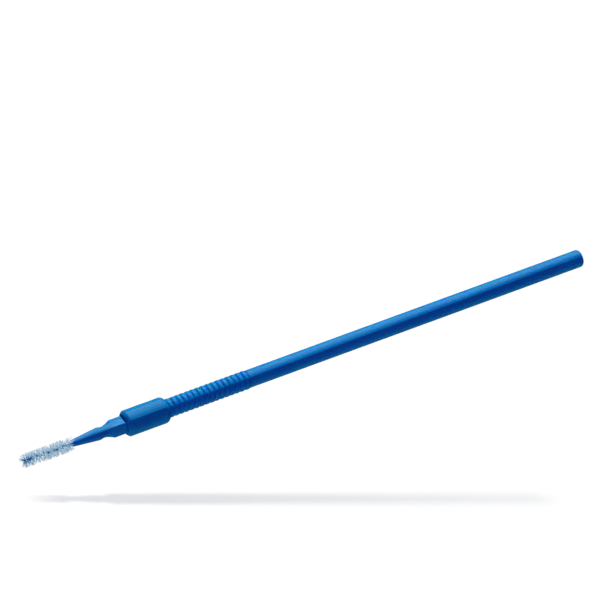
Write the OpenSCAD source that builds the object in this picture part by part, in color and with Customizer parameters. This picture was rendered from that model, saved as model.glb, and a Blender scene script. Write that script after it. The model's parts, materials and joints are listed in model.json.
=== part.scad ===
// Interdental brush with a slim handle and a sliding lock sleeve.
//
// A round rod with a ringed grip carries two spring jaws at its front end. The moulded brush insert
// has a round tail that sits between the jaws, and the lock sleeve slides forward over them to close
// them on the tail. The insert holds a twisted wire with nylon filaments.
//
// The long axis is X: the flat butt of the handle is at the origin and the brush points along +X.
// All sizes are in millimetres.

/* [Handle] */
// Diameter of the plain rod
rod_d = 4.0; // [3.6:0.05:4.1]
// Length of the plain rod, from the butt to the first grip ring
rod_len = 85.5; // [60:0.1:120]
// Radius of the rounded edge at the butt
butt_round = 0.75; // [0.2:0.05:1.2]
// Number of grip rings
ring_count = 16; // [8:1:24]
// Distance from one grip ring to the next
ring_pitch = 1.25; // [0.9:0.05:1.6]
// Diameter over the tops of the grip rings
ring_top_d = 4.26; // [4.2:0.02:4.4]
// Diameter at the bottom of the grooves between the rings
ring_root_d = 3.6; // [3.3:0.02:4.0]

/* [Jaws] */
// Length of the neck and jaws, in front of the rings
jaw_len = 9.6; // [9.2:0.1:10.5]
// Length of the neck that guides the back of the lock sleeve
land_len = 1.8; // [1:0.1:2.4]
// Width of the slot that parts the two jaws
slot_w = 0.6; // [0.3:0.1:1.0]
// Length of the slot, from the jaw tips
slot_len = 7.4; // [6:0.1:7.7]

/* [Lock sleeve] */
// Outside diameter of the sleeve
sleeve_d = 5.95; // [5.5:0.05:7.0]
// Length of the sleeve over its rounded ends
sleeve_len = 10.9; // [10.5:0.1:12.5]
// Radius of the rounded ends
sleeve_round = 1.2; // [0.8:0.05:1.4]
// Thickness of the wall at the mouth, in front of the jaws
mouth_wall = 1.2; // [0.6:0.1:2.0]
// Diameter of the mouth that the square block passes through
mouth_d = 4.2; // [4.16:0.02:4.3]

/* [Brush insert] */
// Width of the square block across its flats
block_flats = 2.95; // [2.5:0.01:2.97]
// Diameter over the softened corners of the block
block_corner_d = 4.1; // [3.6:0.02:4.14]
// Length of the block that shows in front of the sleeve
block_out = 2.7; // [1.5:0.1:5]
// Length of the curve from the block down to the waist
neck_len = 2.2; // [1.4:0.1:4]
// Diameter of the waist
waist_d = 2.5; // [2.0:0.05:2.6]
// Distance from the waist to the widest part of the cone
shoulder_len = 1.2; // [0.8:0.1:2]
// Diameter of the cone at its shoulder
shoulder_d = 2.88; // [2.7:0.02:3.2]
// Length of the cone, from the shoulder to its tip
cone_len = 6.6; // [4:0.1:9]
// Diameter of the cone at its tip
cone_tip_d = 1.54; // [1.1:0.02:1.6]
// Diameter of the tail that the jaws grip
tail_d = 1.9; // [1.6:0.05:2.2]
// Length of the tail
tail_len = 7.0; // [5:0.1:7.5]

/* [Wire and filaments] */
// Diameter of the twisted wire
wire_d = 0.54; // [0.4:0.02:0.7]
// Depth of the wire in the cone
wire_root_len = 6.0; // [4:0.1:7]
// Length of the brushing part
brush_len = 12.1; // [9:0.1:15]
// Diameter of the brushing part
brush_d = 3.4; // [2:0.1:5]
// Filaments drawn on each stretch of the wire
filament_count = 12; // [4:1:14]
// Diameter of one filament
filament_d = 0.1; // [0.06:0.01:0.12]
// Length along the wire in which the fan of filaments turns once
fan_pitch = 1.75; // [1.2:0.05:4]

/* [Hidden] */

wire_parts = 8;         // stretches of wire that bend against each other
lathe_fn = 96;          // a true circle on every turned part
arc_steps = 8;          // chords in one rounded edge
ring_steps = 8;         // chords over one grip ring
ring_flatness = 3.4;    // exponent of a ring's rounded top; larger is flatter
neck_steps = 12;        // chords along the curve from the block to the waist
fine_steps = 5;         // chords on the small domes and corners
slide_gap = 0.08;       // radial gap between the sleeve and what it slides on
tail_gap = 0.05;        // radial gap between the tail and the jaws
tail_end_gap = 0.3;     // free space behind the tail
wire_gap = 0.01;        // radial gap around the moulded-in wire
bend_gap = 0.02;        // gap on each side of a bending point of the wire
wire_lead = 0.15;       // wire that shows between the cone and its first bending point
jaw_chamfer = 0.25;     // chamfer at the jaw tips and in the mouth of the socket
tail_grooves = 3;       // grip grooves around the tail
groove_depth = 0.12;
groove_w = 0.5;
tip_round = 0.2;        // rounded rim at the tip of the cone
over = 1;               // how far a cut runs past the surface

rod_r = rod_d / 2;
rings_end = rod_len + ring_count * ring_pitch;
jaw_tip = rings_end + jaw_len;
sleeve_front = jaw_tip + mouth_wall + 0.1;
sleeve_back = sleeve_front - sleeve_len;
bore_r = ring_top_d / 2 + slide_gap;
jaw_r = mouth_d / 2 - slide_gap;
block_back = jaw_tip + 0.1;
block_front = sleeve_front + block_out;
waist_x = block_front + neck_len;
shoulder_x = waist_x + shoulder_len;
cone_tip = shoulder_x + cone_len;
brush_end = cone_tip + brush_len;
wire_first = cone_tip + wire_lead;
wire_pitch = (brush_len - wire_lead - filament_d / 2) / wire_parts;

// A solid turned about the X axis, from points [distance along X, radius]
module lathe(points) {
    rotate([0, 90, 0])
        rotate_extrude($fn = lathe_fn)
            polygon([for (p = points) [p[1], p[0]]]);
}

// A plain cylinder along X, from x0 to x1
module rod(x0, x1, r) {
    translate([x0, 0, 0])
        rotate([0, 90, 0])
            cylinder(h = x1 - x0, r = r, $fn = lathe_fn);
}

// Points on an arc about [x, r], from angle a0 to angle a1
function arc(x, r, radius, a0, a1, steps) =
    [for (i = [0:steps]) let (a = a0 + (a1 - a0) * i / steps) [x + radius * cos(a), r + radius * sin(a)]];

// The rounded tops of the grip rings, groove to groove
function ring_outline() =
    [for (i = [0:ring_count - 1]) for (j = [0:ring_steps - 1])
        let (u = 2 * j / ring_steps - 1)
        [rod_len + (i + j / ring_steps) * ring_pitch,
            ring_root_d / 2 + (ring_top_d - ring_root_d) / 2 * (1 - pow(abs(u), ring_flatness))]];

// The rod, its rings and the two jaws
module handle() {
    socket_r = tail_d / 2 + tail_gap;
    socket_back = block_back - tail_len - tail_end_gap;
    color([0.02, 0.35, 0.66])
        difference() {
            lathe(concat(
                [[0, 0]],
                arc(butt_round, rod_r - butt_round, butt_round, 180, 90, arc_steps),
                [[rod_len - 0.05, rod_r]],
                ring_outline(),
                [[rings_end, ring_root_d / 2], [rings_end + jaw_chamfer, ring_top_d / 2]],
                [[rings_end + land_len, ring_top_d / 2], [rings_end + land_len + jaw_chamfer, jaw_r]],
                [[jaw_tip - jaw_chamfer, jaw_r], [jaw_tip, jaw_r - jaw_chamfer], [jaw_tip, 0]]
            ));
            rod(socket_back, jaw_tip + over, socket_r);
            lathe([[jaw_tip - jaw_chamfer, 0], [jaw_tip - jaw_chamfer, socket_r],
                [jaw_tip + over, socket_r + jaw_chamfer + over], [jaw_tip + over, 0]]);
            translate([jaw_tip - slot_len, -slot_w / 2, -ring_top_d])
                cube([slot_len + over, slot_w, 2 * ring_top_d]);
        }
}

// The sleeve that slides over the jaws and locks them on the tail
module lock_sleeve() {
    r = sleeve_d / 2;
    core_r = r - sleeve_round;
    color([0.03, 0.37, 0.68])
        difference() {
            lathe(concat(
                [[sleeve_back, 0]],
                arc(sleeve_back + sleeve_round, core_r, sleeve_round, 180, 90, arc_steps),
                arc(sleeve_front - sleeve_round, core_r, sleeve_round, 90, 0, arc_steps),
                [[sleeve_front, 0]]
            ));
            rod(sleeve_back - over, sleeve_front - mouth_wall, bore_r);
            rod(sleeve_back, sleeve_front + over, mouth_d / 2);
        }
}

// Radius of the curve from the block (u = 0) to the waist (u = 1)
function neck_r(u) = waist_d / 2 + (block_corner_d - waist_d) / 2 * pow(1 - u, 1.5);

// The round tail with its grip grooves
module tail() {
    r = tail_d / 2;
    back = block_back - tail_len;
    groove_pitch = tail_len / (tail_grooves + 1);
    lathe(concat(
        [[back, 0], [back, r - tip_round], [back + tip_round, r]],
        [for (i = [1:tail_grooves]) for (p = [[-0.5, 0], [-0.3, 1], [0.3, 1], [0.5, 0]])
            [back + i * groove_pitch + p[0] * groove_w, r - p[1] * groove_depth]],
        [[block_back + over, r], [block_back + over, 0]]
    ));
}

// The block, neck, waist and cone as one turned outline
module nose() {
    lathe(concat(
        [[block_back, 0], [block_back, block_corner_d / 2]],
        [for (i = [0:neck_steps]) [block_front + neck_len * i / neck_steps, neck_r(i / neck_steps)]],
        [for (i = [1:fine_steps]) let (u = i / fine_steps)
            [waist_x + shoulder_len * u, (waist_d + (shoulder_d - waist_d) * sin(90 * u)) / 2]],
        [[cone_tip - tip_round, cone_tip_d / 2 + 0.02]],
        arc(cone_tip - tip_round, cone_tip_d / 2 - tip_round, tip_round, 80, 0, fine_steps),
        [[cone_tip, 0]]
    ));
}

// The moulded insert: tail, square block, waist and cone
module brush_stem() {
    round_from = block_front + 0.8 * neck_len;
    color([0.03, 0.36, 0.68])
        difference() {
            union() {
                tail();
                intersection() {
                    nose();
                    union() {
                        translate([block_back - over, -block_flats / 2, -block_flats / 2])
                            cube([round_from - block_back + over, block_flats, block_flats]);
                        rod(round_from - 0.1, cone_tip + over, block_corner_d);
                    }
                }
            }
            rod(cone_tip - wire_root_len, cone_tip + over, wire_d / 2 + wire_gap);
        }
}

// A straight stretch of wire with domed ends
module wire_stretch(x0, x1) {
    r = wire_d / 2;
    dome = r * 0.8;
    color([0.20, 0.36, 0.55])
        lathe(concat(
            [for (i = [0:fine_steps]) let (a = 90 * i / fine_steps) [x0 + dome * (1 - cos(a)), r * sin(a)]],
            [for (i = [0:fine_steps]) let (a = 90 * i / fine_steps) [x1 - dome * (1 - sin(a)), r * cos(a)]]
        ));
}

// Where stretch i of the wire begins, counted from 1
function wire_start(i) = wire_first + (i - 1) * wire_pitch;

// The end of the wire that is moulded into the cone
module wire_root() {
    wire_stretch(cone_tip - wire_root_len, wire_first - bend_gap);
}

module wire(i) {
    wire_stretch(wire_start(i) + bend_gap, wire_start(i + 1) - bend_gap);
}

// The filaments that stretch i of the wire holds, in a fan that turns along the wire
module tuft(i) {
    step = wire_pitch / filament_count;
    color([0.78, 0.88, 0.95])
        for (k = [0:filament_count - 1]) {
            x = wire_start(i) + (k + 1) * step - (i == wire_parts && k == filament_count - 1 ? 0 : step / 2);
            translate([x, 0, 0])
                rotate([360 * (x - wire_first) / fan_pitch, 0, 0])
                    cylinder(h = brush_d, r = filament_d / 2, center = true, $fn = 24);
        }
}

handle();
lock_sleeve();
brush_stem();
wire_root();
wire(1);  // wire_1
wire(2);  // wire_2
wire(3);  // wire_3
wire(4);  // wire_4
wire(5);  // wire_5
wire(6);  // wire_6
wire(7);  // wire_7
wire(8);  // wire_8
tuft(1);  // tuft_1
tuft(2);  // tuft_2
tuft(3);  // tuft_3
tuft(4);  // tuft_4
tuft(5);  // tuft_5
tuft(6);  // tuft_6
tuft(7);  // tuft_7
tuft(8);  // tuft_8
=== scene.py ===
"""Looks of the interdental brush: finer meshes, materials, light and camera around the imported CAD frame.

The long axis is X, from the butt at the origin to the brush tip. Sizes are in millimetres, unless a comment
says otherwise, and are turned into metres when a mesh is made. Places along the axis come from the boxes and
joints of the frame.
"""
import json
import math
import random

import bmesh
import bpy
from mathutils import Matrix, Vector


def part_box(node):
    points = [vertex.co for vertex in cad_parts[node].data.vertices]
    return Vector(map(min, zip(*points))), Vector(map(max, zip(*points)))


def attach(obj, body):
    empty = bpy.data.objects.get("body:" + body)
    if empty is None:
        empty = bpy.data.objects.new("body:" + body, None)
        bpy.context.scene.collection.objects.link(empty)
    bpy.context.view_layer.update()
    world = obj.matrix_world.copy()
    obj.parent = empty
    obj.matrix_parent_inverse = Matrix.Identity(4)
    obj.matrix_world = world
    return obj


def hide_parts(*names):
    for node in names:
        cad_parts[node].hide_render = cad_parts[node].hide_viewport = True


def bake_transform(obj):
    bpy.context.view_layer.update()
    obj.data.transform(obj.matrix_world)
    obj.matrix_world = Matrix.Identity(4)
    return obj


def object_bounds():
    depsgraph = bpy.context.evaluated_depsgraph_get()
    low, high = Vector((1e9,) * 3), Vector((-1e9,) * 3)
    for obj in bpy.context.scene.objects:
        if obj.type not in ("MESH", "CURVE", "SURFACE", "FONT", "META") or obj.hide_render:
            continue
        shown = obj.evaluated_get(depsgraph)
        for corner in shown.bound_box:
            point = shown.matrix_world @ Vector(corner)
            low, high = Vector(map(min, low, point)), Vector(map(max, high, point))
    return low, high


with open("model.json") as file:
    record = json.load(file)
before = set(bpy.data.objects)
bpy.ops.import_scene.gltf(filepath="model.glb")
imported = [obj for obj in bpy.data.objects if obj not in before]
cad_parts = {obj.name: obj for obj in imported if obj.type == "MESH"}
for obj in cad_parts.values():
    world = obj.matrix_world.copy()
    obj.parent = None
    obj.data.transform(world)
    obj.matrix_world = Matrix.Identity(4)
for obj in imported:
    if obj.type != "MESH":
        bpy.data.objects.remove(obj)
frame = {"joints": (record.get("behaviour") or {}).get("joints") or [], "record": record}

MM = 0.001
CAD_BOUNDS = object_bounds()
JOINTS = {joint["name"]: joint for joint in frame["joints"]}
MOUNTS = {mount["name"]: mount for mount in frame["record"]["mounts"]}

# ---------------------------------------------------------------- places along the axis, from the frame


def span(node):
    """The lowest and highest x of a CAD node, in millimetres."""
    low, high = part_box(node)
    return low.x / MM, high.x / MM


BUTT, JAW_TIP = span("handle")
SLEEVE_BACK, SLEEVE_FRONT = span("lock_sleeve")
TAIL_BACK, CONE_TIP = span("brush_stem")
BRUSH_END = CAD_BOUNDS[1].x / MM
ROD_R = MOUNTS["handle_rod"]["dims"]["r_mm"]
SLEEVE_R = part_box("lock_sleeve")[1].z / MM
BENDS = [JOINTS[name]["pos_m"][0] / MM for name in sorted(JOINTS) if name.startswith("wire_bend")]
BEND_PITCH = BENDS[1] - BENDS[0]

# ---------------------------------------------------------------- sizes of the mouldings

SIDES = 128                         # vertices round a turned piece
CORNER_ANGLES = (-1.6, -1.1, -0.55, 0.55, 1.1, 1.6)   # degrees: extra ones about each corner of the block
SHARP_TURN = 32                     # degrees between faces beyond which an edge is sharp
SLEEVE_SHARP_TURN = 40
PARTING = math.radians(45)          # where the mould's parting line runs, round the axis
CREASE_SPREAD = math.radians(25)    # how far the parting line's draft reaches to each side
RING_SPREAD = math.radians(18)      # the same on the grip rings, which must clear the sleeve's bore
CREASE_FULL = math.radians(12)      # the draft at the parting line
ROD_CREASE = 0.5                    # the share of the draft on the rod, and how much it gains by the rings
ROD_CREASE_GAIN = 0.25
FADE_LEN = 4.0                      # over which the parting line fades in from the butt

BUTT_ROUND = 0.75
BUTT_FLAT_ROW = 0.25                # a row this far inside the butt's rounding keeps its end flat
ROD_ROWS = 40
ROD_STEP = 0.12                     # the length of the slope from the rod into the first groove
ROD_CRISP = 0.55                    # the share of the rod after which its parting line is a sharp edge
RING_COUNT = 16
RING_PITCH = 1.25
RING_TOP_R = 2.13
RING_ROOT_R = 1.80
RING_CROWN = 4.0                    # the power of a ring's outline: a higher one is flatter on top
RING_ROWS = 12
LAND_LEN = 1.8                      # the plain band in front of the rings
JAW_R = 2.02
JAW_LEN = 9.6                       # the land and the jaws together
JAW_CHAMFER = 0.25
SLOT_W = 0.6
SLOT_LEN = 7.4
CUTTER_CLEAR = 1.0                  # how far the slot's cutter reaches beyond the jaws
SOCKET_R = 1.0
SOCKET_GAP = 0.3                    # between the insert's tail and the socket's floor

SLEEVE_ROUND = 1.2                  # the rounding of the rear end
SLEEVE_ROWS = 12
BEVEL_LEN = 0.75
MOUTH_STEP = 0.30                   # how far the mouth's rim lies behind the CAD sleeve's front
SHOULDER_TURN = math.radians(66)    # the angle of the bevel's normal from the axis, at its shoulder
SHOULDER_LEAD = 0.10                # over which the wall starts to fall, just behind the shoulder
SHOULDER_FALL = 0.001               # how far it has fallen halfway
SHOULDER_SKIP = 1.0                 # degrees that the bevel's first row lies past the shoulder
BORE_R = 2.21
MOUTH_R = 2.10
MOUTH_WALL = 1.2                    # the length of the narrower mouth
RIM = 0.12                          # the chamfers round the mouth and round the bore's rear end
MOUTH_EDGE = 0.05                   # the chamfers where the mouth meets the bore
BORE_EDGE = 0.03

TAIL_R = 0.95
TAIL_LEN = 7.0
TAIL_ROUND = 0.2
GROOVE_COUNT = 3
GROOVE_TOP = 0.25                   # half a groove's width at its top
GROOVE_FLOOR = 0.15                 # and at its floor
GROOVE_DEPTH = 0.12
BLOCK_HALF = 1.55
BLOCK_CROWN = 0.10                  # how far a face falls from its middle to its corners
BLOCK_CORNER_R = 2.045
BLOCK_EDGE = 0.08                   # the chamfer round the block's rear face
BLOCK_ROWS = 10
BLOCK_OUT = 2.7                     # how far the block shows in front of the sleeve
NECK_LEN = 2.2
NECK_ROWS = 24
NECK_POWER = 1.5                    # a higher one turns the neck from square to round sooner
NECK_CRISP = 0.5                    # how far along the neck its parting line becomes a sharp edge
WAIST_R = 1.25
SHOULDER_LEN = 1.2
SHOULDER_R = 1.44
SHOULDER_ROWS = 10
CROWN_LEN = 0.25                    # from the shoulder's top to the start of the cone
CROWN_FALL = 0.03                   # how much narrower the cone starts
CONE_ROWS = 16
CONE_TIP_R = 0.75
CONE_ROUND = 0.18
WIRE_HOLE_R = 0.28
WIRE_INSIDE = 1.6                   # how far the wire's mesh reaches into the cone
HOLE_BEYOND = 0.3                   # how much deeper its hole is

RINGS_END = JAW_TIP - JAW_LEN
ROD_END = RINGS_END - RING_COUNT * RING_PITCH
BLOCK_BACK = TAIL_BACK + TAIL_LEN
BLOCK_FRONT = SLEEVE_FRONT + BLOCK_OUT
WAIST_X = BLOCK_FRONT + NECK_LEN
SHOULDER_X = WAIST_X + SHOULDER_LEN

# ---------------------------------------------------------------- sizes of the wire and its filaments

STRAND_R = 0.13
STRAND_OFFSET = 0.125               # from the axis to the middle of a strand
STRAND_SIDES = 12
TWIST_PITCH = 1.75
TWIST_ROWS = 24                     # rows of vertices along one turn of the twist
LOOP_STEPS = 12
LOOP_LEAD = 0.05                    # how far behind the loop the last piece of wire starts
WIRE_SHORT = 0.6                    # how far the wire's end lies behind the last filaments' ends

TUFT_SEED = 400
BUNDLES = 34                        # bundles of filaments on each side of each stretch of wire
BUNDLE_SIZE = 6
BUNDLE_STRAY = 0.4                  # how far a bundle strays along the wire, as a share of their spacing
BUNDLE_SHORTEST = 0.84              # the shortest bundle's and filament's share of the full length
FILAMENT_SHORTEST = 0.92
BRUSH_R = 1.70
FILAMENT_R = 0.028
FILAMENT_TAPER = 0.4                # how much thinner it is at its free end
FILAMENT_STEPS = 5
FILAMENT_SIDES = 5
FRAY = 0.65                         # how far bundles stray from the fan, in radians
LEAN_SPREAD = 0.23                  # how much the bundles' leans along the wire differ, as slopes
LEAN_MOST = 0.40                    # filaments lean no more than this, except at the tip
BOW_SPREAD = 0.16
GLINT_SHADE_SPREAD = 0.42                  # how much the bundles differ in tone, a painted glint and shade
ROOT_STRAY = 0.03                   # how much the filaments of one bundle differ
LEAN_STRAY = 0.05
TURN_STRAY = 0.10
BOW_STRAY = 0.05
GLINT_SHADE_STRAY = 0.15

ROOTS_SHORT = 0.75                  # how far the last filaments' roots lie behind their ends
TIP_SPREAD = 1.3                    # the length at the tip in which the fan opens to a star
TIP_THINNING = 0.5                  # the share of bundles missing at the tip
TIP_FRAY = 2                        # how many times FRAY is added there
TIP_LEAN = 0.40                     # how much more they lean outwards there
TIP_LEAN_SPREAD = 0.2
TIP_LEAN_MORE = 0.8                 # how much further they may lean there
END_MARGIN = 0.05                   # filaments stay this far inside the brush's end
CONE_MARGIN = 0.2                   # filaments that lean back clear the cone's tip by this
CONE_CLEARANCE = 0.85               # at this radius
HOOK_FROM = 0.75                    # next to the cone some filaments hook back over it beyond this radius
HOOK_MOST = 6.0
HOOK_REACH = 0.9                    # how far from the cone the filaments still hook
HOOK_SHORTENS = 0.4                 # how much shorter the most hooked ones are

LAST_ROOT = BRUSH_END - ROOTS_SHORT

# ---------------------------------------------------------------- colours

PLASTIC_TONES = ((0.29, 0.67), (0.32, 0.72), (0.35, 0.77))   # the green and blue of the streaks, deep to pale
WIRE_DEEP = (0.01, 0.09, 0.28)
WIRE_MID = (0.02, 0.17, 0.42)
WIRE_WORN = (0.18, 0.34, 0.52)
NYLON_SHADED = (0.07, 0.37, 0.63)
# the clear filaments' painted light and shade, from shaded by the wire to lit at their free ends
NYLON_MID = (0.36, 0.65, 0.82)
NYLON_PALE = (0.80, 0.90, 0.93)
NYLON_BODY = 0.68                   # how much of what lies behind a filament it hides
NYLON_GLOW = 0.12                   # light that the filaments scatter to one another
CORE_SHADE_R = (0.2, 1.0)            # radii between which the painted shade by the wire, blue like the wire, fades out
STAR_SHADE = 0.45                    # how much deeper the painted shade is in the star at the brush's tip
STAR_SHADE_R = (1.5, 0.6)            # radii between which it comes in
STAR_SHADE_BACK = (3.0, 1.6)         # how far behind the brush's end it does

# ---------------------------------------------------------------- camera, light and floor

VIEW_TILT = math.radians(22)        # how far the brush end leans out of the picture, towards the camera
VIEW_RISE = math.radians(38.6)      # how far the camera stands above the rod, round the rod
ROD_SLOPE = math.radians(19.87)     # how steeply the rod climbs in the picture, perspective aside
LENS = 380
CAMERA_DISTANCE = 1.400             # metres
AIM_FROM_BUTT = 54.72               # the point on the axis that the framing is set by
AIM_RIGHT, AIM_UP = 0.1143, -0.0584   # where it stands, as shares of the picture's width from its centre
SENSOR = 36.0

KEY_ANGLE = 95                      # a light's angle from the camera and its spread are in degrees
KEY_STRENGTH = 1.1
KEY_SPREAD = 6
RIM_ANGLE = 110
RIM_STRENGTH = 0.43
RIM_SPREAD = 40
RIM_COLOUR = (1.0, 1.0, 0.8)
FILL_ANGLE = 15
FILL_STRENGTH = 0.29
FILL_SPREAD = 90
FILL_COLOUR = (0.0, 0.27, 1.0)
SHEET_ANGLE = 86                    # the white sheet's middle, up and over from the camera
SHEET_REACH = 27                    # how far the sheet reaches from its middle
SHEET_EDGE = 0.04                   # how soft its edge is, as a cosine
SHEET_GLOSS = 0.95
AMBIENT = 0.045

SHADOW_ROW = 0.3315                 # how far below the picture's centre the shadow lies, in widths
FLOOR_RISE = math.radians(25)       # how steeply the camera looks down on the floor
FLOOR_SIZE = 4.0                    # metres to each side of the shadow, and away from the camera
FLOOR_NEAR = 0.1                    # the share of that towards the camera
FLOOR_TOTAL = 1.025                 # the paper's whiteness and glow together
FLOOR_SHADED = 130.0                # the length of floor that the shadow lies on, from the brush's tip
FLOOR_LIT = ((0.5, 0.0), (9.0, 0.285), (34.0, 0.285), (121.0, 0.16), (129.0, 0.0))   # place, whiteness

# ---------------------------------------------------------------- outlines and sections


def arc(x, r, radius, start, end, steps):
    """Points of an outline on an arc about (x, r), with its angles in degrees."""
    points = []
    for i in range(steps + 1):
        a = math.radians(start + (end - start) * i / steps)
        points.append((x + radius * math.cos(a), r + radius * math.sin(a)))
    return points


def line(x0, r0, x1, r1, rows):
    """Points of a straight stretch of outline, without its first one."""
    return [(x0 + (x1 - x0) * i / rows, r0 + (r1 - r0) * i / rows) for i in range(1, rows + 1)]


def from_parting(phi):
    """The angle from phi to the nearer of the two parting lines."""
    half_turn = math.pi
    d = (phi - PARTING) % half_turn
    return min(d, half_turn - d)


def crease(phi, draft, spread):
    """How much the moulding's draft widens a round section at angle phi."""
    d = from_parting(phi)
    if d >= spread:
        return 1.0
    return 1.0 + draft * (spread - d) ** 2 / (2 * spread)


def square(phi):
    """Radius of the block's square section, with slightly crowned faces and softened corners."""
    level = max(abs(math.cos(phi)), abs(math.sin(phi)))
    across = min(abs(math.cos(phi)), abs(math.sin(phi)))
    fall = BLOCK_CROWN * (across / BLOCK_HALF) ** 2
    if fall < 1e-9:
        return BLOCK_HALF
    face = (math.sqrt(level ** 2 + 4 * fall * BLOCK_HALF) - level) / (2 * fall)
    return min(face, BLOCK_CORNER_R)


def rod_draft(x):
    """The parting line is crisp by the rings, a little softer towards the butt, and fades out there."""
    share = (x - BUTT) / (ROD_END - BUTT)
    fade = min(1.0, (x - BUTT) / FADE_LEN)
    return CREASE_FULL * (ROD_CREASE + ROD_CREASE_GAIN * share) * fade


def full_draft(x):
    return CREASE_FULL


def moulded(points, draft_of=full_draft, spread=CREASE_SPREAD):
    """Outline rows of a round, moulded surface: each row is (x, radius at angle phi)."""
    return [(x, lambda phi, x=x, r=r: r * crease(phi, draft_of(x), spread)) for x, r in points]


def plain(points):
    """Outline rows of a truly round surface, such as a bore."""
    return [(x, lambda phi, r=r: r) for x, r in points]


def on_axis(x):
    """The outline row that closes a piece to a point at x."""
    return x, lambda phi: 0.0


def angles(corner_detail=False):
    """The angles of a section's vertices, with extra ones at the square's corners if asked."""
    found = [2 * math.pi * i / SIDES for i in range(SIDES)]
    if corner_detail:
        for corner in range(4):
            middle = math.radians(45 + 90 * corner)
            found += [middle + math.radians(a) for a in CORNER_ANGLES]
    return sorted(found)


# ---------------------------------------------------------------- mesh helpers


def mesh_object(name, verts, faces):
    """A mesh object from millimetre vertices, with its normals outward."""
    mesh = bpy.data.meshes.new(name)
    mesh.from_pydata([(x * MM, y * MM, z * MM) for x, y, z in verts], [], faces)
    work = bmesh.new()
    work.from_mesh(mesh)
    bmesh.ops.recalc_face_normals(work, faces=work.faces)
    work.to_mesh(mesh)
    work.free()
    mesh.polygons.foreach_set("use_smooth", [True] * len(mesh.polygons))
    made = bpy.data.objects.new(name, mesh)
    bpy.context.scene.collection.objects.link(made)
    return made


def turned(name, rows, corner_detail=False, closed=False):
    """A solid round the axis from outline rows; closed joins the last row to the first."""
    phis = angles(corner_detail)
    count = len(phis)
    verts, faces, first = [], [], []
    for x, radius in rows:
        first.append(len(verts))
        if radius(0.0) <= 0:
            verts.append((x, 0.0, 0.0))
            continue
        for phi in phis:
            r = radius(phi)
            verts.append((x, r * math.cos(phi), r * math.sin(phi)))
    pairs = list(zip(range(len(rows)), range(1, len(rows))))
    if closed:
        pairs.append((len(rows) - 1, 0))
    for a, b in pairs:
        point_a, point_b = rows[a][1](0.0) <= 0, rows[b][1](0.0) <= 0
        for i in range(count):
            j = (i + 1) % count
            if point_a:
                faces.append((first[a], first[b] + i, first[b] + j))
            elif point_b:
                faces.append((first[a] + i, first[b], first[a] + j))
            else:
                faces.append((first[a] + i, first[b] + i, first[b] + j, first[a] + j))
    return mesh_object(name, verts, faces)


def set_sharp(obj, angle, keep_parting):
    """Marks edges sharper than angle degrees, and the parting line's where keep_parting(x, r) is true."""
    mesh = obj.data
    mesh.set_sharp_from_angle(angle=math.radians(angle))
    sharp = mesh.attributes["sharp_edge"]
    for edge in mesh.edges:
        ends = [mesh.vertices[i].co / MM for i in edge.vertices]
        radii = [math.hypot(p.y, p.z) for p in ends]
        if min(radii) < 1e-6:
            continue
        if any(from_parting(math.atan2(p.z, p.y)) > 1e-4 for p in ends):
            continue
        if all(keep_parting(p.x, r) for p, r in zip(ends, radii)):
            sharp.data[edge.index].value = True


def cut(obj, cutter):
    """Takes cutter out of obj."""
    modifier = obj.modifiers.new("cut", "BOOLEAN")
    modifier.operation = "DIFFERENCE"
    modifier.solver = "EXACT"
    modifier.object = cutter
    depsgraph = bpy.context.evaluated_depsgraph_get()
    result = bpy.data.meshes.new_from_object(obj.evaluated_get(depsgraph))
    obj.modifiers.clear()
    obj.data = result
    bpy.data.objects.remove(cutter)


def tube(verts, faces, path, radii, sides, turn=0.0):
    """Adds a closed round tube along path to verts and faces."""
    base = len(verts)
    side = None
    for k, point in enumerate(path):
        ahead = path[min(k + 1, len(path) - 1)] - path[max(k - 1, 0)]
        ahead.normalize()
        if side is None:
            side = ahead.orthogonal().normalized()
            side.rotate(Matrix.Rotation(turn, 3, ahead))
        side = (side - ahead * side.dot(ahead)).normalized()
        other = ahead.cross(side)
        for i in range(sides):
            a = 2 * math.pi * i / sides
            verts.append(tuple(point + (side * math.cos(a) + other * math.sin(a)) * radii[k]))
    for k in range(len(path) - 1):
        for i in range(sides):
            j = (i + 1) % sides
            row, above = base + k * sides, base + (k + 1) * sides
            faces.append((row + i, row + j, above + j, above + i))
    faces.append(tuple(base + i for i in reversed(range(sides))))
    top = base + (len(path) - 1) * sides
    faces.append(tuple(top + i for i in range(sides)))


def finish_piece(obj, material, body, slot, *nodes):
    """Gives a piece its material, its body and the CAD nodes that it stands for. slot is not used."""
    obj.data.materials.clear()
    obj.data.materials.append(material)
    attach(obj, body)
    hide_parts(*nodes)
    return obj


# ---------------------------------------------------------------- shader helpers


def nodes_of(name):
    """A new material, its node tree, its main shader and its texture coordinates."""
    material = bpy.data.materials.new(name)
    material.use_nodes = True
    tree = material.node_tree
    shader = tree.nodes["Principled BSDF"]
    place = tree.nodes.new("ShaderNodeTexCoord")
    return material, tree, shader, place


def noise(tree, place, scale, detail, stretch=None):
    """A noise texture in object space; scale is in features per metre, stretch squeezes it along an axis."""
    texture = tree.nodes.new("ShaderNodeTexNoise")
    texture.inputs["Scale"].default_value = scale
    texture.inputs["Detail"].default_value = detail
    source = place.outputs["Object"]
    if stretch:
        mapping = tree.nodes.new("ShaderNodeMapping")
        mapping.inputs["Scale"].default_value = stretch
        tree.links.new(source, mapping.inputs["Vector"])
        source = mapping.outputs["Vector"]
    tree.links.new(source, texture.inputs["Vector"])
    return texture.outputs["Fac"]


def ramp(tree, value, stops):
    """A colour ramp over value, with (position, colour) stops."""
    node = tree.nodes.new("ShaderNodeValToRGB")
    elements = node.color_ramp.elements
    while len(elements) < len(stops):
        elements.new(0.5)
    for element, (position, colour) in zip(elements, stops):
        element.position = position
        element.color = (*colour, 1.0)
    tree.links.new(value, node.inputs["Fac"])
    return node.outputs["Color"]


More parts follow.
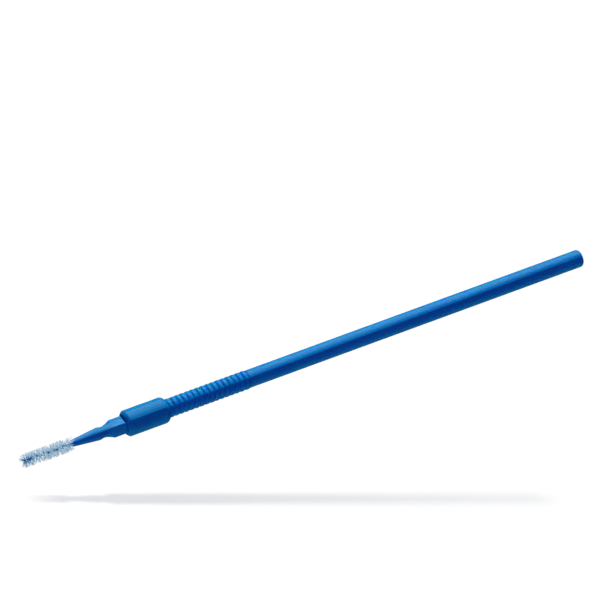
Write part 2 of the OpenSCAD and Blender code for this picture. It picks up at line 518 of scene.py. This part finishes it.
def span_value(tree, value, low, high):
    """value, from 0..1, spread over low..high."""
    node = tree.nodes.new("ShaderNodeMapRange")
    node.inputs["To Min"].default_value = low
    node.inputs["To Max"].default_value = high
    tree.links.new(value, node.inputs["Value"])
    return node.outputs["Result"]


def from_range(tree, value, low, high):
    """value, from low..high, spread over 0..1."""
    node = tree.nodes.new("ShaderNodeMapRange")
    node.inputs["From Min"].default_value = low
    node.inputs["From Max"].default_value = high
    tree.links.new(value, node.inputs["Value"])
    return node.outputs["Result"]


def combine(tree, operation, first, second):
    """Two values put together by a maths operation."""
    node = tree.nodes.new("ShaderNodeMath")
    node.operation = operation
    tree.links.new(first, node.inputs[0])
    tree.links.new(second, node.inputs[1])
    return node.outputs["Value"]


def reach_along(tree, vector, direction):
    """How far a vector reaches along a direction."""
    node = tree.nodes.new("ShaderNodeVectorMath")
    node.operation = "DOT_PRODUCT"
    node.inputs[1].default_value = direction
    tree.links.new(vector, node.inputs[0])
    return node.outputs["Value"]


def bump(tree, shader, height, distance, strength):
    """Relief on the shader's normal; distance is in metres."""
    node = tree.nodes.new("ShaderNodeBump")
    node.inputs["Distance"].default_value = distance
    node.inputs["Strength"].default_value = strength
    tree.links.new(height, node.inputs["Height"])
    tree.links.new(node.outputs["Normal"], shader.inputs["Normal"])


# ---------------------------------------------------------------- materials


def blue_plastic(name, grain, tint=(1.0, 1.0), gloss=0.5):
    """Satin moulded polypropylene: faint flow streaks, a fine eroded grain, and light let in a little.

    tint is the batch's green and blue against the handle's.
    """
    material, tree, shader, place = nodes_of(name)
    streaks = noise(tree, place, scale=900, detail=4.0, stretch=(0.18, 1.0, 1.0))
    tones = [(0.0, green * tint[0], blue * tint[1]) for green, blue in PLASTIC_TONES]
    colour = ramp(tree, streaks, list(zip((0.30, 0.55, 0.75), tones)))
    tree.links.new(colour, shader.inputs["Base Color"])
    speckle = noise(tree, place, scale=grain, detail=2.0)
    tree.links.new(span_value(tree, speckle, 0.12, 0.22), shader.inputs["Roughness"])
    shader.inputs["IOR"].default_value = 1.49
    shader.inputs["Specular IOR Level"].default_value = gloss
    shader.inputs["Subsurface Weight"].default_value = 0.6
    shader.inputs["Subsurface Radius"].default_value = (0.03, 0.20, 1.0)
    shader.inputs["Subsurface Scale"].default_value = 0.0009
    bump(tree, shader, speckle, distance=0.00004, strength=0.28)
    return material


def coated_wire(name):
    """Drawn steel wire under a thin blue coating that is worn paler in patches."""
    material, tree, shader, place = nodes_of(name)
    wear = noise(tree, place, scale=2600, detail=3.0)
    colour = ramp(tree, wear, [(0.35, WIRE_DEEP), (0.60, WIRE_MID), (0.80, WIRE_WORN)])
    tree.links.new(colour, shader.inputs["Base Color"])
    shader.inputs["Metallic"].default_value = 0.2
    tree.links.new(span_value(tree, wear, 0.25, 0.45), shader.inputs["Roughness"])
    bump(tree, shader, noise(tree, place, scale=9000, detail=2.0), distance=0.00001, strength=0.4)
    return material


def off_axis(tree, parts):
    """The distance from the wire's axis, from separated coordinates."""
    across = tree.nodes.new("ShaderNodeCombineXYZ")
    tree.links.new(parts.outputs["Y"], across.inputs["Y"])
    tree.links.new(parts.outputs["Z"], across.inputs["Z"])
    radius = tree.nodes.new("ShaderNodeVectorMath")
    radius.operation = "LENGTH"
    tree.links.new(across.outputs["Vector"], radius.inputs[0])
    return radius.outputs["Value"]


def painted_nylon_shade(tree, place):
    """How pale a spot is, as painted shade: more away from the coated wire, less inside the star at the
    brush's tip.
    """
    parts = tree.nodes.new("ShaderNodeSeparateXYZ")
    tree.links.new(place.outputs["Object"], parts.inputs["Vector"])
    radius = off_axis(tree, parts)
    outward = from_range(tree, radius, CORE_SHADE_R[0] * MM, CORE_SHADE_R[1] * MM)
    inward = from_range(tree, radius, STAR_SHADE_R[0] * MM, STAR_SHADE_R[1] * MM)
    first, last = ((BRUSH_END - back) * MM for back in STAR_SHADE_BACK)
    tipward = from_range(tree, parts.outputs["X"], first, last)
    tip_shade = combine(tree, "MULTIPLY", span_value(tree, tipward, 0.0, STAR_SHADE), inward)
    return combine(tree, "SUBTRACT", outward, tip_shade)


def nylon(name):
    """Clear nylon filament, with light and shade painted into its colour: pale at its free end, painted shade
    tinted blue towards the coated wire and the brush's tip, painted glints and shade from bundle to bundle,
    and a painted glow for the light that the filaments scatter to one another.
    """
    material, tree, shader, place = nodes_of(name)
    # painted glints and shade: the tone attribute differs from bundle to bundle, the glint spots from place
    # to place
    tone = tree.nodes.new("ShaderNodeAttribute")
    tone.attribute_name = "tone"
    glint_spots = span_value(tree, noise(tree, place, scale=2600, detail=1.0), -0.55, 0.95)
    glints_and_shade = combine(tree, "ADD", glint_spots, tone.outputs["Fac"])
    shade = combine(tree, "ADD", glints_and_shade, painted_nylon_shade(tree, place))
    colour = ramp(tree, shade, [(0.10, NYLON_SHADED), (0.50, NYLON_MID), (0.95, NYLON_PALE)])
    tree.links.new(colour, shader.inputs["Base Color"])
    tree.links.new(colour, shader.inputs["Emission Color"])
    shader.inputs["Emission Strength"].default_value = NYLON_GLOW
    shader.inputs["Roughness"].default_value = 0.30
    shader.inputs["IOR"].default_value = 1.53
    shader.inputs["Transmission Weight"].default_value = 0.35
    shader.inputs["Alpha"].default_value = NYLON_BODY
    return material


# ---------------------------------------------------------------- the handle


def rod_points():
    """The rod, from its rounded butt to the slope into the first groove."""
    start = BUTT + BUTT_ROUND
    points = [(BUTT, ROD_R - BUTT_ROUND - BUTT_FLAT_ROW)]
    points += arc(start, ROD_R - BUTT_ROUND, BUTT_ROUND, 180, 90, 14)
    return points + line(start, ROD_R, ROD_END - ROD_STEP, ROD_R, ROD_ROWS)


def ring_points():
    """The crowned grip rings, groove to groove."""
    height = RING_TOP_R - RING_ROOT_R
    points = []
    for ring in range(RING_COUNT):
        for row in range(RING_ROWS):
            across = 2 * row / RING_ROWS - 1
            x = ROD_END + (ring + row / RING_ROWS) * RING_PITCH
            points.append((x, RING_ROOT_R + height * (1 - abs(across) ** RING_CROWN)))
    return points + [(RINGS_END, RING_ROOT_R)]


def jaw_points():
    """The land in front of the rings and the outside of the jaws."""
    land_end = RINGS_END + LAND_LEN
    points = [(RINGS_END + JAW_CHAMFER, RING_TOP_R), (land_end, RING_TOP_R), (land_end + JAW_CHAMFER, JAW_R)]
    return points + [(JAW_TIP - JAW_CHAMFER, JAW_R), (JAW_TIP, JAW_R - JAW_CHAMFER)]


def make_handle(material):
    socket_back = TAIL_BACK - SOCKET_GAP
    socket = [(JAW_TIP, SOCKET_R + JAW_CHAMFER), (JAW_TIP - JAW_CHAMFER, SOCKET_R), (socket_back, SOCKET_R)]
    rows = [on_axis(BUTT)]
    rows += moulded(rod_points(), rod_draft)
    rows += moulded(ring_points(), spread=RING_SPREAD)
    rows += plain(jaw_points() + socket)
    rows += [on_axis(socket_back)]
    handle = turned("handle_moulding", rows)
    cut(handle, slot_cutter())
    outside = SOCKET_R + 0.3
    set_sharp(handle, SHARP_TURN, lambda x, r: ROD_CRISP * ROD_END < x < RINGS_END and r > outside)
    return finish_piece(handle, material, "handle", "handle_plastic", "handle")


def slot_cutter():
    """A flat-sided cutter with a round end, for the slot between the jaws."""
    half = SLOT_W / 2
    outline = [(JAW_TIP + CUTTER_CLEAR, -half), (JAW_TIP + CUTTER_CLEAR, half)]
    outline += arc(JAW_TIP - SLOT_LEN + half, 0, half, 90, 270, 12)
    count = len(outline)
    reach = 2 * RING_TOP_R
    verts = [(x, y, z) for z in (-reach, reach) for x, y in outline]
    faces = [tuple(reversed(range(count))), tuple(range(count, 2 * count))]
    faces += [(i, (i + 1) % count, count + (i + 1) % count, count + i) for i in range(count)]
    return mesh_object("slot_cutter", verts, faces)


# ---------------------------------------------------------------- the sleeve


def on_round(r, r_end, radius):
    """How far an end's rounding of this radius has fallen back at radius r, for a core of r_end."""
    return radius - math.sqrt(max(0.0, radius ** 2 - (r - r_end) ** 2))


def bevel(front):
    """The sleeve's front end: a slightly rounded bevel, from a crisp shoulder down to the mouth's rim."""
    drop = SLEEVE_R - MOUTH_R - RIM
    middle = math.atan2(BEVEL_LEN, drop)
    turn = SHOULDER_TURN - middle
    radius = math.hypot(BEVEL_LEN, drop) / (2 * math.sin(turn))
    shoulder = front - BEVEL_LEN
    x = shoulder - radius * math.cos(SHOULDER_TURN)
    r = SLEEVE_R - radius * math.sin(SHOULDER_TURN)
    first, last = math.degrees(SHOULDER_TURN), math.degrees(middle - turn)
    lead = [(shoulder - SHOULDER_LEAD, SLEEVE_R), (shoulder - SHOULDER_LEAD / 2, SLEEVE_R - SHOULDER_FALL)]
    return lead + arc(x, r, radius, first - SHOULDER_SKIP, last, 20)


def sleeve_outside(back, front):
    """The rounded rear end, the wall and the bevel."""
    core = SLEEVE_R - SLEEVE_ROUND
    start = 180 - math.degrees(math.asin((BORE_R + RIM - core) / SLEEVE_ROUND))
    wall_start = back + SLEEVE_ROUND
    wall = line(wall_start, SLEEVE_R, front - BEVEL_LEN, SLEEVE_R, SLEEVE_ROWS)[:-1]
    return arc(wall_start, core, SLEEVE_ROUND, start, 90, 20) + wall + bevel(front)


def sleeve_inside(front):
    """The narrower mouth and the bore, from the front to the back."""
    step = front - MOUTH_WALL
    points = [(front - 0.02, MOUTH_R + RIM * 0.3), (front - RIM * 1.3, MOUTH_R), (step + MOUTH_EDGE, MOUTH_R)]
    points += [(step, MOUTH_R + MOUTH_EDGE), (step, BORE_R - BORE_EDGE), (step - BORE_EDGE, BORE_R)]
    return points + [(SLEEVE_BACK + RIM * 1.5, BORE_R), (SLEEVE_BACK + RIM * 0.6, BORE_R + RIM * 0.3)]


def make_sleeve(material):
    back = SLEEVE_BACK - on_round(BORE_R, SLEEVE_R - SLEEVE_ROUND, SLEEVE_ROUND)
    front = SLEEVE_FRONT - MOUTH_STEP
    rows = moulded(sleeve_outside(back, front)) + plain(sleeve_inside(front))
    sleeve = turned("lock_sleeve_moulding", rows, closed=True)
    outside = BORE_R + 0.12
    set_sharp(sleeve, SLEEVE_SHARP_TURN, lambda x, r: r > outside)
    return finish_piece(sleeve, material, "lock_sleeve", "sleeve_plastic", "lock_sleeve")


# ---------------------------------------------------------------- the insert's stem


def tail_points():
    """The tail, with its rounded end and its grip grooves."""
    points = [(TAIL_BACK, TAIL_R - TAIL_ROUND)]
    points += [(TAIL_BACK + 0.3 * TAIL_ROUND, TAIL_R - 0.4 * TAIL_ROUND), (TAIL_BACK + TAIL_ROUND, TAIL_R)]
    pitch = TAIL_LEN / (GROOVE_COUNT + 1)
    floor_r = TAIL_R - GROOVE_DEPTH
    for i in range(1, GROOVE_COUNT + 1):
        middle = TAIL_BACK + i * pitch
        points += [(middle - GROOVE_TOP, TAIL_R), (middle - GROOVE_FLOOR, floor_r)]
        points += [(middle + GROOVE_FLOOR, floor_r), (middle + GROOVE_TOP, TAIL_R)]
    return points + [(BLOCK_BACK, TAIL_R)]


def block_rows():
    """The square block, from its chamfered rear face."""
    start = BLOCK_BACK + BLOCK_EDGE
    rows = [(BLOCK_BACK, lambda phi: square(phi) - BLOCK_EDGE), (start, square)]
    rows += [(start + (BLOCK_FRONT - start) * i / BLOCK_ROWS, square) for i in range(1, BLOCK_ROWS)]
    return rows


def neck_row(u):
    """A section between the square block, at u = 0, and the round waist, at u = 1."""
    share = (1 - u) ** NECK_POWER
    x = BLOCK_FRONT + NECK_LEN * u

    def radius(phi):
        waist = WAIST_R * crease(phi, CREASE_FULL, CREASE_SPREAD)
        return waist + (square(phi) - waist) * share
    return x, radius


def shoulder_points():
    """The smooth rise from the waist to the shoulder's crown."""
    points = []
    for i in range(1, SHOULDER_ROWS - 2):
        rise = (1 - math.cos(math.pi * i / SHOULDER_ROWS)) / 2
        points.append((WAIST_X + SHOULDER_LEN * i / SHOULDER_ROWS, WAIST_R + (SHOULDER_R - WAIST_R) * rise))
    return points + [(SHOULDER_X - 0.12, SHOULDER_R - 0.012), (SHOULDER_X + 0.05, SHOULDER_R)]


def cone_points():
    """The cone, from the shoulder's crown to its rounded tip."""
    start, start_r = SHOULDER_X + CROWN_LEN, SHOULDER_R - CROWN_FALL
    end, end_r = CONE_TIP - CONE_ROUND, CONE_TIP_R + 0.02
    points = [(start, start_r)] + line(start, start_r, end, end_r, CONE_ROWS)
    return points + arc(end, CONE_TIP_R - CONE_ROUND, CONE_ROUND, 80, 0, 8)


def make_stem(material):
    hole_end = CONE_TIP - WIRE_INSIDE - HOLE_BEYOND
    hole = [(CONE_TIP, WIRE_HOLE_R + 0.04), (CONE_TIP - 0.05, WIRE_HOLE_R), (hole_end, WIRE_HOLE_R)]
    rows = [on_axis(TAIL_BACK)]
    rows += plain(tail_points())
    rows += block_rows()
    rows += [neck_row(i / NECK_ROWS) for i in range(NECK_ROWS + 1)]
    rows += moulded(shoulder_points() + cone_points())
    rows += plain(hole)
    rows += [on_axis(hole_end)]
    stem = turned("brush_stem_moulding", rows, corner_detail=True)
    outside = WIRE_HOLE_R + 0.1
    set_sharp(stem, SHARP_TURN, lambda x, r: x > BLOCK_FRONT + NECK_CRISP and r > outside)
    return finish_piece(stem, material, "brush_stem", "stem_plastic", "brush_stem")


# ---------------------------------------------------------------- the wire


def strand_path(x0, x1, phase):
    """The centre line of one strand of the twisted pair."""
    steps = max(2, round((x1 - x0) / TWIST_PITCH * TWIST_ROWS))
    path = []
    for i in range(steps + 1):
        x = x0 + (x1 - x0) * i / steps
        a = 2 * math.pi * x / TWIST_PITCH + phase
        path.append(Vector((x, STRAND_OFFSET * math.cos(a), STRAND_OFFSET * math.sin(a))))
    return path


def wire_piece(name, paths, material):
    """A strand along each of the paths."""
    verts, faces = [], []
    for path in paths:
        tube(verts, faces, path, [STRAND_R] * len(path), STRAND_SIDES)
    made = mesh_object(name, verts, faces)
    made.data.materials.append(material)
    return made


def folded_path(x0, x1):
    """The centre line of the wire's end, where one strand turns back in a small loop to become the other."""
    bend_x = x1 - STRAND_R - STRAND_OFFSET
    a_end = 2 * math.pi * bend_x / TWIST_PITCH
    out = Vector((0, math.cos(a_end), math.sin(a_end)))
    path = strand_path(x0, bend_x, 0.0)
    for i in range(1, LOOP_STEPS):
        a = math.pi * i / LOOP_STEPS
        path.append(Vector((bend_x + STRAND_OFFSET * math.sin(a), 0, 0)) + out * STRAND_OFFSET * math.cos(a))
    path += reversed(strand_path(x0, bend_x, math.pi))
    return path


def make_wire(material):
    """Spans from the middle of one stretch to the middle of the next, each across one joint."""
    bodies = ["brush_stem"] + [f"wire_{i + 1}" for i in range(len(BENDS))]
    wire_end = BRUSH_END - WIRE_SHORT
    loop_start = wire_end - STRAND_R - STRAND_OFFSET - LOOP_LEAD
    cuts = [CONE_TIP - WIRE_INSIDE] + [x + BEND_PITCH / 2 for x in BENDS[:-1]] + [loop_start]
    for i, x in enumerate(BENDS):
        paths = [strand_path(cuts[i], cuts[i + 1], phase) for phase in (0.0, math.pi)]
        piece = wire_piece(f"twisted_wire_{i + 1}", paths, material)
        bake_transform(piece)
        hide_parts(f"wire_{i + 1}")
        if i == 0:
            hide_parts("wire_root")
    tip = wire_piece("twisted_wire_tip", [folded_path(loop_start, wire_end)], material)
    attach(tip, bodies[-1])


# ---------------------------------------------------------------- the filaments


def filament_path(x, turn, lean, bow, length, hook):
    """One end of a filament, from the wire outwards: it leans along the wire, bows, and may hook back."""
    out = Vector((0, math.cos(turn), math.sin(turn)))
    across = Vector((0, -math.sin(turn), math.cos(turn)))
    points = []
    for k in range(FILAMENT_STEPS + 1):
        u = k / FILAMENT_STEPS
        along = lean * length * u - hook * max(0.0, length * u - HOOK_FROM) ** 2
        points.append(Vector((x + along, 0, 0)) + out * (length * u) + across * (bow * u * u))
    return points


def bundle_of(source, k, x):
    """What the filaments of bundle k at x share, or None where the tip is thinned out."""
    near_tip = max(0.0, 1 - (LAST_ROOT - x) / TIP_SPREAD)
    if source.random() < TIP_THINNING * near_tip:
        return None
    # the bundle's tone is a painted glint and shade
    tone = source.uniform(-GLINT_SHADE_SPREAD, GLINT_SHADE_SPREAD)
    fan = 2 * math.pi * x / TWIST_PITCH + math.pi * (k + 0.5)
    turn = fan + source.gauss(0, FRAY * (1 + TIP_FRAY * near_tip))
    lean = source.gauss(TIP_LEAN * near_tip, LEAN_SPREAD + TIP_LEAN_SPREAD * near_tip)
    length = BRUSH_R * source.uniform(BUNDLE_SHORTEST, 1.0)
    bow = source.gauss(0, BOW_SPREAD)
    hook = HOOK_MOST * source.random() ** 2 * max(0.0, 1 - (x - BENDS[0]) / HOOK_REACH)
    return x, near_tip, tone, turn, lean, length, bow, hook


def bounded(lean, root, length, near_tip):
    """The lean, kept inside the brush's end, clear of the cone and small away from the tip."""
    leaning = LEAN_MOST + TIP_LEAN_MORE * near_tip
    most = (BRUSH_END - END_MARGIN - root) / length
    least = -max(0.0, root - CONE_TIP - CONE_MARGIN) / CONE_CLEARANCE
    return max(least, -leaning, min(lean, most, leaning))


def filament_of(source, bundle, start, end):
    """One filament of a bundle, rooted between start and end: its path, its roll and its tone, a painted
    glint and shade.
    """
    x, near_tip, tone, turn, lean, length, bow, hook = bundle
    root = min(max(x + source.gauss(0, ROOT_STRAY), start), end)
    slant = bounded(lean + source.gauss(0, LEAN_STRAY), root, length, near_tip)
    reach = length * source.uniform(FILAMENT_SHORTEST, 1.0) / math.hypot(1.0, max(0.0, slant) * near_tip)
    reach *= 1 - HOOK_SHORTENS * hook / HOOK_MOST
    turned_by = turn + source.gauss(0, TURN_STRAY)
    path = filament_path(root, turned_by, slant, bow + source.gauss(0, BOW_STRAY), reach, hook)
    return path, source.uniform(0, 1), tone + source.gauss(0, GLINT_SHADE_STRAY)


def make_tuft(number, material):
    """The filaments of one stretch of the wire: a double fan that follows the twist, a star at the tip."""
    source = random.Random(TUFT_SEED + number)
    start = BENDS[number - 1]
    end = LAST_ROOT if number == len(BENDS) else start + BEND_PITCH
    shares = [i / FILAMENT_STEPS for i in range(FILAMENT_STEPS + 1)]
    radii = [FILAMENT_R * (1 - FILAMENT_TAPER * share ** 3) for share in shares]
    verts, faces, tones = [], [], []
    for k in range(2 * BUNDLES):
        stray = source.uniform(-BUNDLE_STRAY, BUNDLE_STRAY)
        bundle = bundle_of(source, k, start + (k + 0.5 + stray) / (2 * BUNDLES) * (end - start))
        if bundle is None:
            continue
        for _ in range(BUNDLE_SIZE):
            path, roll, tone = filament_of(source, bundle, start, end)
            tube(verts, faces, path, radii, FILAMENT_SIDES, roll)
            # each vertex carries its filament's painted glint and shade as the tone attribute
            tones += [tone] * (len(verts) - len(tones))
    made = mesh_object(f"filaments_{number}", verts, faces)
    made.data.attributes.new("tone", "FLOAT", "POINT").data.foreach_set("value", tones)
    finish_piece(made, material, f"wire_{number}", "filaments", f"tuft_{number}")


# ---------------------------------------------------------------- the camera


def view_basis():
    """The camera's right, up and back directions."""
    perpendicular = Vector((0, math.cos(VIEW_RISE), math.sin(VIEW_RISE)))
    back = Vector((math.sin(VIEW_TILT), 0, 0)) + perpendicular * math.cos(VIEW_TILT)
    towards_butt = Vector((-1, 0, 0))
    rod = (towards_butt - back * towards_butt.dot(back)).normalized()
    rod_up = back.cross(rod)
    right = rod * math.cos(ROD_SLOPE) - rod_up * math.sin(ROD_SLOPE)
    up = rod * math.sin(ROD_SLOPE) + rod_up * math.cos(ROD_SLOPE)
    return right, up, back


def make_camera():
    right, up, back = view_basis()
    data = bpy.data.cameras.new("camera")
    data.lens = LENS
    data.sensor_width = SENSOR
    data.clip_start = 0.01
    data.clip_end = 20
    camera = bpy.data.objects.new("camera", data)
    bpy.context.scene.collection.objects.link(camera)
    per_width = CAMERA_DISTANCE * SENSOR / LENS
    aim = Vector((AIM_FROM_BUTT * MM, 0, 0))
    place = aim + back * CAMERA_DISTANCE - right * AIM_RIGHT * per_width - up * AIM_UP * per_width
    turn = Matrix((right, up, back)).transposed().to_4x4()
    camera.matrix_world = Matrix.Translation(place) @ turn
    bpy.context.scene.camera = camera


# ---------------------------------------------------------------- the lights


def studio_light(name, direction, strength, spread, colour=(1, 1, 1)):
    """A broad light from far off, spread in degrees. Strength 1 shows a sheet that faces it as white."""
    data = bpy.data.lights.new(name, "SUN")
    data.energy = strength * math.pi
    data.angle = math.radians(spread)
    data.color = colour
    light = bpy.data.objects.new(name, data)
    bpy.context.scene.collection.objects.link(light)
    light.rotation_euler = direction.to_track_quat("Z", "Y").to_euler()
    light.visible_glossy = False
    return light


def tilted(towards_camera, picture_up, degrees):
    """The direction that many degrees from the camera, on the side of picture_up."""
    a = math.radians(degrees)
    return (towards_camera * math.cos(a) + picture_up * math.sin(a)).normalized()


def key_direction():
    right, up, back = view_basis()
    return tilted(back, up, KEY_ANGLE)


def only(name, obj):
    """A collection for light linking that takes in only obj."""
    group = bpy.data.collections.new(name)
    group.objects.link(obj)
    return group


def all_but(name, obj):
    """A collection for light linking that leaves out obj."""
    group = only(name, obj)
    group.collection_objects[0].light_linking.link_state = "EXCLUDE"
    return group


def make_lights(floor, sleeve):
    """The lights. The sleeve's shadow is kept off the floor, where it doesn't show."""
    right, up, back = view_basis()
    parts_key = studio_light("softbox", key_direction(), KEY_STRENGTH, KEY_SPREAD)
    parts_key.light_linking.receiver_collection = all_but("parts_key_lights", floor)
    floor_key = studio_light("floor_softbox", key_direction(), KEY_STRENGTH, KEY_SPREAD)
    floor_key.light_linking.receiver_collection = only("floor_key_lights", floor)
    floor_key.light_linking.blocker_collection = all_but("floor_key_shadows", sleeve)
    studio_light("rim", tilted(back, -up, RIM_ANGLE), RIM_STRENGTH, RIM_SPREAD, RIM_COLOUR)
    studio_light("fill", tilted(back, -up, FILL_ANGLE), FILL_STRENGTH, FILL_SPREAD, FILL_COLOUR)


def make_world():
    """White to the camera, also through clear filaments; a weak even light; and a bright sheet to mirror."""
    world = bpy.data.worlds.new("studio")
    bpy.context.scene.world = world
    world.use_nodes = True
    tree = world.node_tree
    background = tree.nodes["Background"]
    path = tree.nodes.new("ShaderNodeLightPath")
    seen = combine(tree, "MAXIMUM", path.outputs["Is Camera Ray"], path.outputs["Is Transmission Ray"])
    mirrored = combine(tree, "MULTIPLY", path.outputs["Is Glossy Ray"], sheet(tree))
    strength = combine(tree, "ADD", mirrored, span_value(tree, seen, AMBIENT, 1.0))
    tree.links.new(strength, background.inputs["Strength"])
    background.inputs["Color"].default_value = (1, 1, 1, 1)


def sheet(tree):
    """The brightness of the white sheet that hangs above and behind the part, by the direction looked in."""
    right, up, back = view_basis()
    place = tree.nodes.new("ShaderNodeTexCoord")
    towards = reach_along(tree, place.outputs["Generated"], tilted(back, up, SHEET_ANGLE))
    edge = math.cos(math.radians(SHEET_REACH))
    share = from_range(tree, towards, edge - SHEET_EDGE, edge + SHEET_EDGE)
    return span_value(tree, share, 0.0, SHEET_GLOSS)


# ---------------------------------------------------------------- the floor


def shadow_point(x):
    """Where the floor must be for the shadow of the axis at x to fall on the picture's shadow row."""
    right, up, back = view_basis()
    camera = bpy.context.scene.camera.matrix_world.translation
    light = key_direction()
    point = Vector((x * MM, 0, 0))
    away = camera - point
    slope = SHADOW_ROW * SENSOR / LENS
    reach = (slope * away.dot(back) - away.dot(up)) / (light.dot(up) - slope * light.dot(back))
    return point - light * reach


def make_floor():
    """A pale floor, level in the picture. Only the camera sees it, and only from above."""
    right, up, back = view_basis()
    left_end, right_end = shadow_point(BRUSH_END), shadow_point(BUTT)
    along = (right_end - left_end).normalized()
    away = up * math.sin(FLOOR_RISE) - back * math.cos(FLOOR_RISE)
    normal = along.cross(away).normalized()
    away = normal.cross(along)
    middle = (left_end + right_end) / 2
    shares = ((-1, -FLOOR_NEAR), (1, -FLOOR_NEAR), (1, 1), (-1, 1))
    corners = [middle + along * a * FLOOR_SIZE + away * b * FLOOR_SIZE for a, b in shares]
    mesh = bpy.data.meshes.new("floor")
    mesh.from_pydata([tuple(c) for c in corners], [], [(0, 1, 2, 3)])
    floor = bpy.data.objects.new("floor", mesh)
    bpy.context.scene.collection.objects.link(floor)
    floor.visible_diffuse = False
    floor.visible_glossy = False
    floor.visible_transmission = False
    floor.visible_shadow = False
    mesh.materials.append(floor_paper(left_end, along))
    return floor


def floor_paper(corner, along):
    """Matt white paper, part lit by the lights and part glowing, clear from below."""
    material, tree, shader, place = nodes_of("floor_paper")
    far = reach_along(tree, place.outputs["Object"], along)
    start = corner.dot(along)
    share = from_range(tree, far, start, start + FLOOR_SHADED * MM)
    lit = ramp(tree, share, [(at / FLOOR_SHADED, (white,) * 3) for at, white in FLOOR_LIT])
    grain = span_value(tree, noise(tree, place, scale=60, detail=3.0), 0.98, 1.02)
    paper = tree.nodes.new("ShaderNodeVectorMath")
    paper.operation = "SCALE"
    tree.links.new(lit, paper.inputs[0])
    tree.links.new(grain, paper.inputs["Scale"])
    tree.links.new(paper.outputs["Vector"], shader.inputs["Base Color"])
    shader.inputs["Roughness"].default_value = 1.0
    shader.inputs["Specular IOR Level"].default_value = 0.0
    glow = tree.nodes.new("ShaderNodeVectorMath")
    glow.operation = "SUBTRACT"
    glow.inputs[0].default_value = (FLOOR_TOTAL,) * 3
    tree.links.new(lit, glow.inputs[1])
    tree.links.new(glow.outputs["Vector"], shader.inputs["Emission Color"])
    shader.inputs["Emission Strength"].default_value = 1.0
    side = tree.nodes.new("ShaderNodeNewGeometry")
    clear = tree.nodes.new("ShaderNodeBsdfTransparent")
    mix = tree.nodes.new("ShaderNodeMixShader")
    tree.links.new(side.outputs["Backfacing"], mix.inputs["Fac"])
    tree.links.new(shader.outputs["BSDF"], mix.inputs[1])
    tree.links.new(clear.outputs["BSDF"], mix.inputs[2])
    tree.links.new(mix.outputs["Shader"], tree.nodes["Material Output"].inputs["Surface"])
    return material


# ---------------------------------------------------------------- the scene


bpy.context.scene.view_settings.view_transform = "Standard"
make_handle(blue_plastic("handle_polypropylene", 3200))
sleeve = make_sleeve(blue_plastic("sleeve_polypropylene", 3000, (1.0, 0.94)))
make_stem(blue_plastic("stem_polypropylene", 3400, (1.03, 0.96), gloss=0.7))
make_wire(coated_wire("coated_steel_wire"))
filament_material = nylon("pale_nylon")
for number in range(1, len(BENDS) + 1):
    make_tuft(number, filament_material)
make_camera()
make_lights(make_floor(), sleeve)
make_world()
